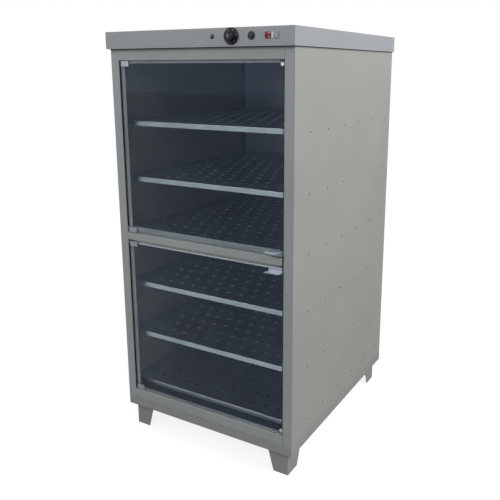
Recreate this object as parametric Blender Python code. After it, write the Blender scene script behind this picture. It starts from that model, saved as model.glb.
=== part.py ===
# Glass-fronted proofing cabinet: a folded sheet-metal body on four corner legs, two
# frameless tinted glass doors, six perforated shelves on side rails, and a control
# strip in the front of the top cover. Metres, +Z up, the front faces -Y.
# Sizes along y are counted from the front face of the body, and the empty that carries
# every piece moves them so that the origin lies under the middle of the whole object.
import bpy
import bmesh
from math import cos, pi, radians, sin
from mathutils import Matrix, Vector

for leftOver in list(bpy.data.objects):
    bpy.data.objects.remove(leftOver, do_unlink=True)

# Clearances shared by all pieces
gap = 0.0003            # between two pieces that touch
overrun = 0.004         # how far a cutter runs past what it cuts
mergeDistance = 0.00001

# Body
bodyWidth = 0.800
bodyDepth = 0.943
bodyTop = 1.595         # underside of the top cover
sheet = 0.0012
insideBend = 0.0005     # inner radius of every fold
bendSteps = 2
stileWidth = 0.039
rebateDepth = 0.0115    # from the front face to the flange behind the glass
rebateWidth = 0.020
strikeFlange = 0.0065    # flange behind the free edge of the doors
backFlange = 0.020

# Front rails
topRailHeight = 0.042
middleRailRise = 0.7385  # base frame to the top of the middle rail
middleRailHeight = 0.029
middleRailEndGap = 0.0055
bottomRailHeight = 0.0404
topFlange = 0.011
upperDoorSill = 0.0265
lowerDoorHead = 0.0165
lowerDoorSill = 0.011
railReturn = 0.020

# Base frame and legs
baseTop = 0.135
skirtHeight = 0.037
baseSheet = 0.0015
baseFlange = 0.075
legInsetSide = 0.025
legInsetEnd = 0.020
legSheet = 0.0025
legFrontFoot = 0.064
legFrontHead = 0.101
legSideFoot = 0.075
legSideHead = 0.124
legTab = 0.060

# Top cover and the pan under it
coverHeight = 0.063
coverFront = 0.0166
coverSide = 0.0074
panRim = 0.010
floorRim = 0.015
backHem = 0.012

# Glass doors and their hinges
glassThickness = 0.005
glassArris = 0.0006     # ground edges
glassFront = 0.004
glassLeftGap = 0.0065
glassRightGap = 0.003
doorTopGap = 0.0025
doorBottomGap = 0.0030
lowerDoorTopGap = 0.0065
clampWall = 0.0025
clampHeight = 0.020
clampLength = 0.040
clampRadius = 0.0045
hingeInset = 0.0095     # hinge axis to the stile
pinRadius = 0.0020
pinReach = 0.008
pinSides = 12
pinClearance = 0.0003
bushWall = 0.0010
bushCollar = 0.0043
bushReach = 0.004
bushHoleClearance = 0.0003

# Door handles: a folded clip over the free edge with a finger lip
handleSheet = 0.0017
handleGap = 0.006       # handle to the stile
handleLength = 0.056
handleHeight = 0.0195
handleReach = 0.028
handleHem = 0.004
handleCorner = 0.012

# Strike discs on the glass and the magnets that hold them
strikeInset = 0.009     # disc centre to the stile
strikeFromEdge = 0.0100
lowerStrikeFromEdge = 0.0136
strikeRadius = 0.0070
strikeHead = 0.0016
strikeStem = 0.0028
strikeBack = 0.0015
strikeBackRadius = 0.0060
strikeSides = 16
magnetNose = 0.0045
magnetRadius = 0.0075
magnetDepth = 0.010
magnetArm = 0.012       # height of the arm that carries the magnet

# Shelves and shelf rails
shelfCount = 6
rivetsAboveBase = 0.0635  # base frame to the lowest row of rivets
rivetsBelowTop = 0.2865   # highest row of rivets to the top of the body
shelfAboveRivets = 0.014
shelfSheet = 0.0010
shelfSideGap = 0.007    # to the flange behind the glass
shelfFront = 0.044
shelfBackGap = 0.036    # to the back ends of the rails
shelfLip = 0.019
shelfTail = 0.012
holeRadius = 0.0125
holeSides = 6
holePitchX = 0.114
holePitchY = 0.107
holeFromLip = 0.070
holeEdge = 0.040
runnerUnderlap = 0.0145  # how far a rail reaches in under its shelf
runnerDrop = 0.025
runnerFront = 0.002     # shelf lip to the end of its rail
runnerBackGap = 0.001   # to the hem of the back panel

# Controls in the front of the top cover
controlRise = 0.0345    # above the underside of the cover
lampFromEnd = 0.3204    # from the right end of the cover
lampBarrel = 0.0050
lampFlange = 0.0068
lampFlangeDepth = 0.0015
lampLens = 0.0055
lampDome = 0.0034
lampDepth = 0.026
knobFromEnd = 0.2419
knobRadius = 0.028
knobSkirt = 0.0022
knobBevel = 0.0030
knobBevelWidth = 0.0030
knobHub = 0.0180
knobHubTop = 0.0165
knobDepth = 0.0205
knobEdge = 0.0012
knobCap = 0.0125
knobCapDepth = 0.0012
knobShaft = 0.0030
knobShaftDepth = 0.014
knobSides = 32
thermostatSize = 0.040
thermostatDepth = 0.034
thermostatBush = 0.0050
thermostatBushReach = 0.0014
shaftClearance = 0.0004
buttonFromEnd = 0.1629
bezelRadius = 0.0140
bezelDepth = 0.0022
bezelSleeve = 0.0115
bezelSleeveDepth = 0.026
buttonRadius = 0.0095
buttonProud = 0.0012
buttonDome = 0.0008
buttonDepth = 0.013
controlSides = 20
switchFromEnd = 0.0594
switchWidth = 0.051
switchHeight = 0.021
switchPlate = 0.0020
switchRim = 0.0022
switchDepth = 0.026
rockerHalf = 0.0092
rockerPocketHalf = 0.0101
rockerHeight = 0.0150
rockerAxisDepth = 0.0016
rockerTilt = radians(8)
rockerFrontRise = 0.0042
rockerFrontDip = 0.0030
rockerShoulder = 0.0010
rockerBack = 0.0050
rockerBackHalf = 0.0040
rockerPocketDepth = 0.0100
windowWidth = 0.0130
windowPocket = 0.0030
windowProud = 0.0005

# Heater on the floor, its terminal box, and the cable inlet
heaterRadius = 0.0042
heaterBend = 0.030
heaterBendSteps = 4
heaterStand = 0.015
heaterSideGap = 0.1485  # outer runs to the side panels
heaterInner = 0.100
heaterTails = 0.030
heaterFront = 0.160
heaterRearGap = 0.0455  # rear runs to the terminal box
heaterStagger = 0.100
standOverhang = 0.030
standDepth = 0.024
standFoot = 0.012
standFromFront = 0.430
standSheet = 0.0010
terminalWidth = 0.090
terminalDepth = 0.036
terminalRise = 0.0135   # above the floor panel
terminalHeight = 0.040
glandFromEnd = 0.0774   # from the left end of the cover
glandBore = 0.0042
glandThread = 0.0078
glandFlange = 0.0120
glandNutDepth = 0.0070
glandHexDepth = 0.0060
glandDomeDepth = 0.0135
glandDomeRadius = 0.0085
glandSides = 16

halfWidth = bodyWidth / 2
topRailBottom = bodyTop - topRailHeight
middleRailTop = baseTop + middleRailRise
middleRailBottom = middleRailTop - middleRailHeight
bottomRailTop = baseTop + bottomRailHeight
baseBottom = baseTop - skirtHeight
stileInner = halfWidth - stileWidth
rebateInner = stileInner - rebateWidth
strikeFlangeInner = stileInner - strikeFlange
coverHalf = halfWidth + coverSide
coverTop = bodyTop + coverHeight
coverFace = -coverFront
insideHalf = halfWidth - sheet - gap
hingeX = -stileInner + hingeInset
hingeY = glassFront + glassThickness / 2
glassBack = glassFront + glassThickness
glassLeft = -stileInner + glassLeftGap
glassRight = stileInner - glassRightGap
upperGlassBottom = middleRailTop + doorBottomGap + clampWall
upperGlassTop = topRailBottom - doorTopGap - clampWall
lowerGlassBottom = bottomRailTop + doorBottomGap + clampWall
lowerGlassTop = middleRailBottom - lowerDoorTopGap - clampWall
handleRight = stileInner - handleGap
handleLeft = handleRight - handleLength
strikeX = stileInner - strikeInset
upperStrikeZ = upperGlassTop - strikeFromEdge
lowerStrikeZ = lowerGlassBottom + lowerStrikeFromEdge
lowestRivets = baseTop + rivetsAboveBase
shelfPitch = (bodyTop - rivetsBelowTop - lowestRivets) / (shelfCount - 1)
shelfHalfWidth = rebateInner - shelfSideGap
runnerWidth = insideHalf - shelfHalfWidth + runnerUnderlap
runnerBack = bodyDepth - backHem - runnerBackGap
shelfBack = runnerBack - shelfBackGap
controlHeight = bodyTop + controlRise
lampX = coverHalf - lampFromEnd
knobX = coverHalf - knobFromEnd
buttonX = coverHalf - buttonFromEnd
switchRight = coverHalf - switchFromEnd
switchLeft = switchRight - switchWidth
glandX = -coverHalf + glandFromEnd
knobFace = coverFace - thermostatBushReach - gap - knobDepth
frontReach = knobFace - knobCapDepth
backReach = bodyDepth + gap + glandHexDepth + glandDomeDepth

cabinet = bpy.data.objects.new("cabinet_axes", None)
cabinet.location = (0, -(frontReach + backReach) / 2, 0)
bpy.context.collection.objects.link(cabinet)


def finish(name, colour, metallic, roughness, transmission=0):
    made = bpy.data.materials.new(name)
    made.use_nodes = True
    shader = made.node_tree.nodes["Principled BSDF"]
    shader.inputs["Base Color"].default_value = (*colour, 1)
    shader.inputs["Metallic"].default_value = metallic
    shader.inputs["Roughness"].default_value = roughness
    shader.inputs["Transmission Weight"].default_value = transmission
    made.diffuse_color = (*colour, 1)
    return made


def onAxis(axis, a, b, along):
    if axis == "x":
        return Vector((along, a, b))
    if axis == "y":
        return Vector((a, along, b))
    return Vector((a, b, along))


def newVerts(result):
    return [item for item in result["geom"] if isinstance(item, bmesh.types.BMVert)]


# A solid with one outline all along an axis
def extruded(axis, outline, low, high):
    solid = bmesh.new()
    ring = [solid.verts.new(onAxis(axis, a, b, low)) for a, b in outline]
    grown = bmesh.ops.extrude_face_region(solid, geom=[solid.faces.new(ring)])
    bmesh.ops.translate(solid, vec=onAxis(axis, 0, 0, high - low), verts=newVerts(grown))
    bmesh.ops.recalc_face_normals(solid, faces=solid.faces)
    return solid


def block(low, high):
    outline = [(low[0], low[1]), (high[0], low[1]), (high[0], high[1]), (low[0], high[1])]
    return extruded("z", outline, low[2], high[2])


# Right-angled corners turned into arcs, with a radius for left turns and one for right
def bent(corners, leftRadius, rightRadius, steps):
    points = [Vector(corners[0])]
    for before, corner, after in zip(corners, corners[1:], corners[2:]):
        corner = Vector(corner)
        inward = (Vector(before) - corner).normalized()
        onward = (Vector(after) - corner).normalized()
        radius = leftRadius if onward.cross(inward) > 0 else rightRadius
        centre = corner + (inward + onward) * radius
        for n in range(steps + 1):
            turn = pi / 2 * n / steps
            points.append(centre - onward * radius * cos(turn) - inward * radius * sin(turn))
    points.append(Vector(corners[-1]))
    return points


# A folded strip whose one surface follows the path, and whose metal lies to its left
def folded(axis, corners, low, high, thickness):
    path = bent(corners, insideBend + thickness, insideBend, bendSteps)
    strip = bmesh.new()
    line = [strip.verts.new(onAxis(axis, a, b, low)) for a, b in path]
    edges = [strip.edges.new(pair) for pair in zip(line, line[1:])]
    grown = bmesh.ops.extrude_edge_only(strip, edges=edges)
    bmesh.ops.translate(strip, vec=onAxis(axis, 0, 0, high - low), verts=newVerts(grown))
    bmesh.ops.recalc_face_normals(strip, faces=strip.faces)
    strip.normal_update()
    (a0, b0), (a1, b1) = path[0], path[1]
    outward = onAxis(axis, b1 - b0, a0 - a1, 0)
    strip.faces.ensure_lookup_table()
    first = min(strip.faces, key=lambda f: (f.calc_center_median()
                - onAxis(axis, (a0 + a1) / 2, (b0 + b1) / 2, (low + high) / 2)).length)
    if first.normal.dot(outward) < 0:
        bmesh.ops.reverse_faces(strip, faces=strip.faces)
    return strip


def rounded(solid, edges, radius, steps):
    bmesh.ops.bevel(solid, geom=edges, offset=radius, offset_type="OFFSET", segments=steps,
                    profile=0.5, affect="EDGES")
    return solid


def upright(solid):
    return [e for e in solid.edges
            if abs(e.verts[0].co.z - e.verts[1].co.z) > e.calc_length() * cos(radians(45))]


# A box with one side open, as a skin that Solidify thickens inwards
def openBox(low, high, openUp, thickness):
    box = block(low, high)
    lost = [f for f in box.faces if f.normal.z * openUp > cos(radians(45))]
    bmesh.ops.delete(box, geom=lost, context="FACES_ONLY")
    return rounded(box, [e for e in box.edges if len(e.link_faces) > 1],
                   insideBend + thickness, bendSteps)


# A turned solid: pairs of radius and distance along the axis
def turned(axis, a, b, profile, sides, ring=False):
    solid = bmesh.new()
    line = [solid.verts.new(onAxis(axis, a + radius, b, along)) for radius, along in profile]
    pairs = list(zip(line, line[1:]))
    if ring:
        pairs.append((line[-1], line[0]))
    edges = [solid.edges.new(pair) for pair in pairs]
    bmesh.ops.spin(solid, geom=line + edges, cent=onAxis(axis, a, b, 0),
                   axis=onAxis(axis, 0, 0, 1), angle=2 * pi, steps=sides)
    bmesh.ops.remove_doubles(solid, verts=solid.verts, dist=mergeDistance)
    bmesh.ops.recalc_face_normals(solid, faces=solid.faces)
    return solid


def circle(a, b, radius, sides):
    turn = 2 * pi / sides
    return [(a + radius * cos(n * turn), b + radius * sin(n * turn)) for n in range(sides)]


# Several cutters that stay clear of each other, as one
def together(solids):
    whole = bmesh.new()
    for solid in solids:
        mesh = bpy.data.meshes.new("joined_cutters")
        solid.to_mesh(mesh)
        solid.free()
        whole.from_mesh(mesh)
        bpy.data.meshes.remove(mesh)
    return whole


def mirrorX(path):
    return [(-x, y) for x, y in reversed(path)]


def addObject(name, solid, pivot):
    bmesh.ops.translate(solid, vec=-pivot, verts=solid.verts)
    mesh = bpy.data.meshes.new(name)
    solid.to_mesh(mesh)
    solid.free()
    made = bpy.data.objects.new(name, mesh)
    made.location = pivot
    made.parent = cabinet
    bpy.context.collection.objects.link(made)
    return made


def addPiece(name, solid, look, thickness=0, joins=(), cuts=(), pivot=(0, 0, 0), smooth=False):
    piece = addObject(name, solid, Vector(pivot))
    piece.data.materials.append(look)
    if smooth:
        piece.data.shade_smooth()
        piece.data.set_sharp_from_angle(angle=radians(35))
    if thickness:
        skin = piece.modifiers.new("Sheet", "SOLIDIFY")
        skin.thickness = thickness
        skin.offset = -1
        skin.use_even_offset = True
    for operation, tools in (("UNION", joins), ("DIFFERENCE", cuts)):
        for number, tool in enumerate(tools):
            guide = addObject(name + "_" + operation.lower() + str(number), tool, Vector())
            guide.hide_render = True
            guide.display_type = "WIRE"
            step = piece.modifiers.new(guide.name, "BOOLEAN")
            step.operation = operation
            step.object = guide
            step.solver = "EXACT"
    return piece


painted = finish("brushed_stainless_front", (0.40, 0.42, 0.39), 0.75, 0.42)
sidePaint = finish("satin_steel_sides", (0.46, 0.47, 0.44), 0.65, 0.45)
coverPaint = finish("satin_steel_cover", (0.50, 0.52, 0.53), 0.65, 0.42)
legSteel = finish("leg_steel", (0.42, 0.43, 0.41), 0.7, 0.45)
shelfSteel = finish("shelf_steel", (0.55, 0.58, 0.62), 0.85, 0.35)
runnerSteel = finish("rail_steel", (0.45, 0.46, 0.46), 0.8, 0.4)
clampSteel = finish("bright_clamps", (0.62, 0.64, 0.68), 0.9, 0.22)
tintedGlass = finish("tinted_glass", (0.055, 0.065, 0.085), 0, 0.04, 0.6)
blackPlastic = finish("black_plastic", (0.02, 0.02, 0.022), 0, 0.4)
redLens = finish("red_lens", (0.55, 0.02, 0.02), 0, 0.2)
whitePlastic = finish("white_plastic", (0.75, 0.75, 0.72), 0, 0.35)
clearPlastic = finish("clear_plastic", (0.55, 0.57, 0.58), 0, 0.15, 0.3)
heaterSheath = finish("heater_sheath", (0.20, 0.18, 0.17), 0.8, 0.45)
greyPlastic = finish("grey_plastic", (0.16, 0.16, 0.17), 0, 0.5)

# Side panels: each wraps from the back flange over the side to the front stile, the
# reveal beside the door and the flange behind the glass, narrow where the doors close
backFlangeFace = bodyDepth - sheet - gap
leftPath = [(-halfWidth + backFlange, backFlangeFace), (-halfWidth, backFlangeFace),
            (-halfWidth, 0), (-stileInner, 0), (-stileInner, rebateDepth),
            (-rebateInner, rebateDepth)]
rightPath = mirrorX(leftPath[:-1] + [(-strikeFlangeInner, rebateDepth)])
panelBottom = baseTop + gap
panelTop = bodyTop - gap
magnetHoles = [extruded("y", circle(strikeX, z, magnetNose + gap, controlSides),
                        rebateDepth - overrun, rebateDepth + sheet + overrun)
               for z in (upperStrikeZ, lowerStrikeZ)]
addPiece("left_side_panel", folded("z", leftPath, panelBottom, panelTop, sheet), sidePaint, sheet)
addPiece("right_side_panel", folded("z", rightPath, panelBottom, panelTop, sheet),
         sidePaint, sheet, cuts=[together(magnetHoles)])

# Back panel with hemmed head and foot, notched where the side flanges come forward
backPath = [(bodyDepth - backHem, panelBottom), (bodyDepth, panelBottom),
            (bodyDepth, panelTop), (bodyDepth - backHem, panelTop)]
backHalf = halfWidth - sheet
hemHalf = halfWidth - backFlange - gap
backNotches = [block((side * hemHalf if side > 0 else -backHalf - overrun,
                      bodyDepth - backHem - overrun, low),
                     (backHalf + overrun if side > 0 else side * hemHalf,
                      bodyDepth - sheet, high))
               for side in (-1, 1)
               for low, high in ((panelBottom - overrun, panelBottom + backHem),
                                 (panelTop - backHem, panelTop + overrun))]
addPiece("back_panel", folded("x", backPath, -backHalf, backHalf, sheet), sidePaint, sheet,
         cuts=[together(backNotches)])

# Front rails: folded strips between the stiles, each with its flange behind the glass
railHalf = stileInner - gap
flangeHalf = rebateInner - gap


def railNotches(low, high):
    return together([block((left, rebateDepth - gap, low - overrun),
                           (right, railReturn + overrun, high + overrun))
                     for left, right in ((-railHalf - overrun, -flangeHalf),
                                         (flangeHalf, railHalf + overrun))])


def bushHole(z):
    hole = pinRadius + pinClearance + bushWall + bushHoleClearance
    return extruded("z", circle(hingeX, hingeY, hole, pinSides), z - overrun, z + overrun)


topRail = [(railReturn, panelTop), (0, panelTop), (0, topRailBottom),
           (rebateDepth, topRailBottom), (rebateDepth, topRailBottom - topFlange)]
addPiece("top_rail", folded("x", topRail, -railHalf, railHalf, sheet), painted, sheet,
         cuts=[railNotches(topRailBottom - topFlange, panelTop), bushHole(topRailBottom)])
middleRail = [(rebateDepth, middleRailTop + upperDoorSill), (rebateDepth, middleRailTop),
              (0, middleRailTop), (0, middleRailBottom), (rebateDepth, middleRailBottom),
              (rebateDepth, middleRailBottom - lowerDoorHead)]
addPiece("middle_rail", folded("x", middleRail, -railHalf, stileInner - middleRailEndGap, sheet),
         painted, sheet,
         cuts=[railNotches(middleRailBottom - lowerDoorHead, middleRailTop + upperDoorSill),
               together([bushHole(middleRailTop), bushHole(middleRailBottom)])])
bottomRail = [(rebateDepth, bottomRailTop + lowerDoorSill), (rebateDepth, bottomRailTop),
              (0, bottomRailTop), (0, panelBottom), (railReturn, panelBottom)]
addPiece("bottom_rail", folded("x", bottomRail, -railHalf, railHalf, sheet), painted, sheet,
         cuts=[railNotches(panelBottom, bottomRailTop + lowerDoorSill),
               bushHole(bottomRailTop)])

# Floor with turned-up side rims, and the pan that closes the head of the body
floorPath = [(-insideHalf, panelBottom + floorRim), (-insideHalf, panelBottom),
             (insideHalf, panelBottom), (insideHalf, panelBottom + floorRim)]
addPiece("floor_panel",
         folded("y", floorPath, railReturn + gap, bodyDepth - backHem - gap, sheet),
         sidePaint, sheet)
panHalf = coverHalf - sheet - gap
addPiece("ceiling_panel",
         openBox((-panHalf, coverFace + sheet + gap, bodyTop),
                 (panHalf, bodyDepth - sheet - gap, bodyTop + panRim), 1, sheet),
         sidePaint, sheet)

# Base frame: a skirt flush with the body and a wide flange that the legs meet
skirt = block((-halfWidth, 0, baseBottom), (halfWidth, bodyDepth, baseTop))
skirtHollow = block((-halfWidth + baseSheet, baseSheet, baseBottom - overrun),
                    (halfWidth - baseSheet, bodyDepth - baseSheet, baseTop - baseSheet))
skirtWindow = block((-halfWidth + baseFlange, baseFlange, baseBottom - overrun),
                    (halfWidth - baseFlange, bodyDepth - baseFlange, baseTop + overrun))
rounded(skirt, upright(skirt), insideBend + baseSheet, bendSteps)
rounded(skirtHollow, upright(skirtHollow), insideBend, bendSteps)
addPiece("base_frame", skirt, legSteel, cuts=[skirtHollow, skirtWindow])

# Legs: folded angles whose free edges taper towards the foot
legTop = baseTop - baseSheet - gap


def addLeg(name, side, end):
    def place(u, v):
        y = legInsetEnd + v if end < 0 else bodyDepth - legInsetEnd - v
        return (side * (halfWidth - legInsetSide - u), y)

    def ordered(points):
        return points if side * end > 0 else points[::-1]

    path = ordered([place(0, legSideHead), place(0, 0), place(legFrontHead, 0)])
    frontCut = [(place(u, 0)[0], z) for u, z in
                ((legFrontFoot, -overrun), (legFrontHead + overrun, -overrun),
                 (legFrontHead + overrun, legTop), (legFrontHead, legTop), (legFrontFoot, 0))]
    sideCut = [(place(0, v)[1], z) for v, z in
               ((legSideFoot, -overrun), (legSideHead + overrun, -overrun),
                (legSideHead + overrun, legTop), (legSideHead, legTop), (legSideFoot, 0))]
    frontPlate = sorted((place(0, -overrun)[1], place(0, legSheet + overrun)[1]))
    sidePlate = sorted((place(-overrun, 0)[0], place(legSheet + overrun, 0)[0]))
    tab = [place(legSheet / 2, legSheet / 2), place(legTab, legTab)]
    tabX = sorted(x for x, y in tab)
    tabY = sorted(y for x, y in tab)
    addPiece(name, folded("z", path, 0, legTop, legSheet), legSteel, legSheet,
             joins=[block((tabX[0], tabY[0], legTop - legSheet), (tabX[1], tabY[1], legTop))],
             cuts=[extruded("y", frontCut, *frontPlate), extruded("x", sideCut, *sidePlate)])


addLeg("leg_front_left", -1, -1)
addLeg("leg_front_right", 1, -1)
addLeg("leg_back_left", -1, 1)
addLeg("leg_back_right", 1, 1)

# Top cover, open below, with the cut-outs of the controls and of the cable inlet
faceLow = coverFace - overrun
faceHigh = coverFace + sheet + overrun
switchX = (switchLeft + switchRight) / 2
switchBodyHalf = (switchRight - switchLeft) / 2 - switchRim
switchBodyHeight = switchHeight / 2 - switchRim
switchHole = block((switchX - switchBodyHalf - gap, faceLow, controlHeight - switchBodyHeight - gap),
                   (switchX + switchBodyHalf + gap, faceHigh, controlHeight + switchBodyHeight + gap))
faceHoles = [extruded("y", circle(x, controlHeight, radius + gap, controlSides), faceLow, faceHigh)
             for x, radius in ((lampX, lampBarrel), (knobX, thermostatBush),
                               (buttonX, bezelSleeve))]
glandZ = bodyTop + coverHeight / 2
glandHole = extruded("y", circle(glandX, glandZ, glandThread + gap, glandSides),
                     bodyDepth - sheet - overrun, bodyDepth + overrun)
addPiece("top_cover",
         openBox((-coverHalf, coverFace, bodyTop), (coverHalf, bodyDepth, coverTop), -1, sheet),
         coverPaint, sheet, cuts=[together(faceHoles + [switchHole, glandHole])])

# Doors: a pane of tinted glass with a hole for its strike disc
panes = (("upper", upperGlassBottom, upperGlassTop, upperStrikeZ),
         ("lower", lowerGlassBottom, lowerGlassTop, lowerStrikeZ))
for door, bottom, top, strikeZ in panes:
    hinge = (hingeX, hingeY, (bottom + top) / 2)
    pane = block((glassLeft, glassFront, bottom), (glassRight, glassBack, top))
    rounded(pane, list(pane.edges), glassArris, 1)
    strikeHole = extruded("y", circle(strikeX, strikeZ, strikeStem + gap, strikeSides),
                          glassFront - overrun, glassBack + overrun)
    addPiece(door + "_door_glass", pane, tintedGlass, cuts=[strikeHole], pivot=hinge)

    headFace = glassFront - gap
    tailFace = glassBack + gap
    strike = [(0, headFace - strikeHead), (strikeRadius - strikeHead / 2, headFace - strikeHead),
              (strikeRadius, headFace - strikeHead / 2), (strikeRadius, headFace),
              (strikeStem, headFace), (strikeStem, tailFace), (strikeBackRadius, tailFace),
              (strikeBackRadius, tailFace + strikeBack), (0, tailFace + strikeBack)]
    addPiece(door + "_strike_disc", turned("y", strikeX, strikeZ, strike, strikeSides),
             clampSteel, pivot=hinge, smooth=True)
    magnetFront = tailFace + strikeBack + gap
    magnetSeat = rebateDepth + sheet + gap
    magnet = [(0, magnetFront), (magnetNose, magnetFront), (magnetNose, magnetSeat),
              (magnetRadius, magnetSeat), (magnetRadius, magnetSeat + magnetDepth),
              (0, magnetSeat + magnetDepth)]
    arm = block((strikeX, magnetSeat, strikeZ - magnetArm / 2),
                (insideHalf, magnetSeat + magnetDepth, strikeZ + magnetArm / 2))
    addPiece(door + "_magnet_catch", turned("y", strikeX, strikeZ, magnet, strikeSides),
             blackPlastic, joins=[arm], smooth=True)


# Hinges: a clamp over the corner of the glass turns on a pin in a collared bush, which
# sits in the rail. up is 1 where the rail lies above the clamp.
def addHinge(door, place, glassEdge, railFace, up, pivot):
    clampEnd = glassEdge + up * clampWall
    clampFar = clampEnd - up * clampHeight
    turn = pi / 8
    nose = [(hingeX + clampRadius * cos(pi / 2 + n * turn),
             hingeY + clampRadius * sin(pi / 2 + n * turn)) for n in range(9)]
    outline = nose + [(hingeX - clampRadius + clampLength, hingeY - clampRadius),
                      (hingeX - clampRadius + clampLength, hingeY + clampRadius)]
    slot = block((glassLeft - gap, glassFront - gap, min(glassEdge + up * gap, clampFar - up * overrun)),
                 (hingeX + clampLength + overrun, glassBack + gap,
                  max(glassEdge + up * gap, clampFar - up * overrun)))
    pinEnd = railFace + up * pinReach
    pinRoot = clampEnd - up * clampWall / 2
    pin = extruded("z", circle(hingeX, hingeY, pinRadius, pinSides),
                   min(pinRoot, pinEnd), max(pinRoot, pinEnd))
    addPiece(door + "_hinge_clamp_" + place,
             extruded("z", outline, min(clampEnd, clampFar), max(clampEnd, clampFar)),
             clampSteel, joins=[pin], cuts=[slot], pivot=pivot)
    bore = pinRadius + pinClearance
    sleeve = bore + bushWall
    bush = [(bore, clampEnd + up * gap), (bushCollar, clampEnd + up * gap),
            (bushCollar, railFace - up * gap), (sleeve, railFace - up * gap),
            (sleeve, railFace + up * bushReach), (bore, railFace + up * bushReach)]
    addPiece(door + "_hinge_bush_" + place,
             turned("z", hingeX, hingeY, bush, pinSides, ring=True), blackPlastic, smooth=True)


# Handles: mirrored clips, each with its finger lip towards the middle of its door
def addHandle(door, glassEdge, up, pivot):
    closedEnd = glassEdge - up * (gap + handleSheet)
    lip = closedEnd + up * (handleHeight - handleSheet)
    frontPlate = glassFront - gap - handleSheet
    backPlate = glassBack + gap + handleSheet
    lipEnd = frontPlate - handleReach
    path = [(lipEnd, lip - up * handleHem), (lipEnd, lip), (frontPlate, lip),
            (frontPlate, closedEnd), (backPlate, closedEnd),
            (backPlate, closedEnd + up * handleHeight)]
    corner = [(handleRight - handleCorner, lipEnd - handleSheet - overrun),
              (handleRight - handleCorner, lipEnd - handleSheet),
              (handleRight, lipEnd - handleSheet + handleCorner),
              (handleRight + overrun, lipEnd - handleSheet + handleCorner),
              (handleRight + overrun, lipEnd - handleSheet - overrun)]
    reach = sorted((lip - up * (handleHem + overrun), lip + up * (handleSheet + overrun)))
    addPiece(door + "_door_handle",
             folded("x", path if up > 0 else path[::-1], handleLeft, handleRight, handleSheet),
             clampSteel, handleSheet, cuts=[extruded("z", corner, *reach)], pivot=pivot)


for door, bottom, top, railBelow, railAbove in (
        ("upper", upperGlassBottom, upperGlassTop, middleRailTop, topRailBottom),
        ("lower", lowerGlassBottom, lowerGlassTop, bottomRailTop, middleRailBottom)):
    hinge = (hingeX, hingeY, (bottom + top) / 2)
    addHinge(door, "top", top, railAbove, 1, hinge)
    addHinge(door, "bottom", bottom, railBelow, -1, hinge)
addHandle("upper", upperGlassBottom, 1, (hingeX, hingeY, (upperGlassBottom + upperGlassTop) / 2))
addHandle("lower", lowerGlassTop, -1, (hingeX, hingeY, (lowerGlassBottom + lowerGlassTop) / 2))


# Shelves: perforated sheets with a folded front lip and an upturned tail, and the pair
# of angles riveted to the side panels that carries each of them
def addShelf(number):
    shelfTop = lowestRivets + shelfAboveRivets + number * shelfPitch
    path = [(shelfBack, shelfTop + shelfTail), (shelfBack, shelfTop), (shelfFront, shelfTop),
            (shelfFront, shelfTop - shelfLip)]
    holes = []
    rows = int((shelfBack - holeEdge - shelfFront - holeFromLip) / holePitchY) + 1
    for row in range(rows):
        y = shelfFront + holeFromLip + row * holePitchY
        start = (row % 2) * holePitchX / 2
        columns = int((shelfHalfWidth - holeEdge - start) / holePitchX)
        xs = [start + n * holePitchX for n in range(-columns - row % 2, columns + 1)]
        holes += [extruded("z", circle(x, y, holeRadius, holeSides),
                           shelfTop - shelfSheet - overrun, shelfTop + overrun) for x in xs]
    label = str(number + 1)
    addPiece("shelf_" + label, folded("x", path, -shelfHalfWidth, shelfHalfWidth, shelfSheet),
             shelfSteel, shelfSheet, cuts=[together(holes)])
    runnerTop = shelfTop - shelfSheet - gap
    runner = [(-insideHalf + runnerWidth, runnerTop), (-insideHalf, runnerTop),
              (-insideHalf, runnerTop - runnerDrop)]
    runnerStart = shelfFront + shelfSheet + runnerFront
    addPiece("rail_left_" + label, folded("y", runner, runnerStart, runnerBack, sheet),
             runnerSteel, sheet)
    addPiece("rail_right_" + label, folded("y", mirrorX(runner), runnerStart, runnerBack, sheet),
             runnerSteel, sheet)


for number in range(shelfCount):
    addShelf(number)

# Indicator lamp
lampFront = coverFace - gap - lampFlangeDepth
lamp = [(0, lampFront - lampDome), (lampLens * cos(radians(60)), lampFront - lampDome * sin(radians(75))),
        (lampLens * cos(radians(25)), lampFront - lampDome * sin(radians(40))),
        (lampLens, lampFront), (lampFlange, lampFront), (lampFlange, coverFace - gap),
        (lampBarrel, coverFace - gap), (lampBarrel, coverFace + lampDepth), (0, coverFace + lampDepth)]
addPiece("indicator_lamp", turned("y", lampX, controlHeight, lamp, controlSides), redLens, smooth=True)

# Thermostat behind the cover, and its knob with a bevelled skirt and a square cap
knobBack = coverFace - thermostatBushReach - gap
shaftEnd = knobBack + knobShaftDepth
hubFront = knobFace
knob = [(0, shaftEnd), (knobShaft, shaftEnd), (knobShaft, knobBack), (knobRadius, knobBack),
        (knobRadius, knobBack - knobSkirt),
        (knobRadius - knobBevelWidth, knobBack - knobSkirt - knobBevel),
        (knobHub, knobBack - knobSkirt - knobBevel), (knobHubTop, hubFront + knobEdge),
        (knobHubTop - knobEdge, hubFront), (0, hubFront)]
knobCapBlock = extruded("y", circle(knobX, controlHeight, knobCap * cos(pi / 4), 4),
                        hubFront - knobCapDepth, hubFront + knobEdge)
addPiece("thermostat_knob", turned("y", knobX, controlHeight, knob, knobSides), blackPlastic,
         joins=[knobCapBlock], pivot=(knobX, knobBack, controlHeight), smooth=True)
thermostatFace = coverFace + sheet + gap
thermostat = block((knobX - thermostatSize / 2, thermostatFace, controlHeight - thermostatSize / 2),
                   (knobX + thermostatSize / 2, thermostatFace + thermostatDepth,
                    controlHeight + thermostatSize / 2))
thermostatNeck = extruded("y", circle(knobX, controlHeight, thermostatBush, controlSides),
                          coverFace - thermostatBushReach, thermostatFace + overrun)
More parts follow.
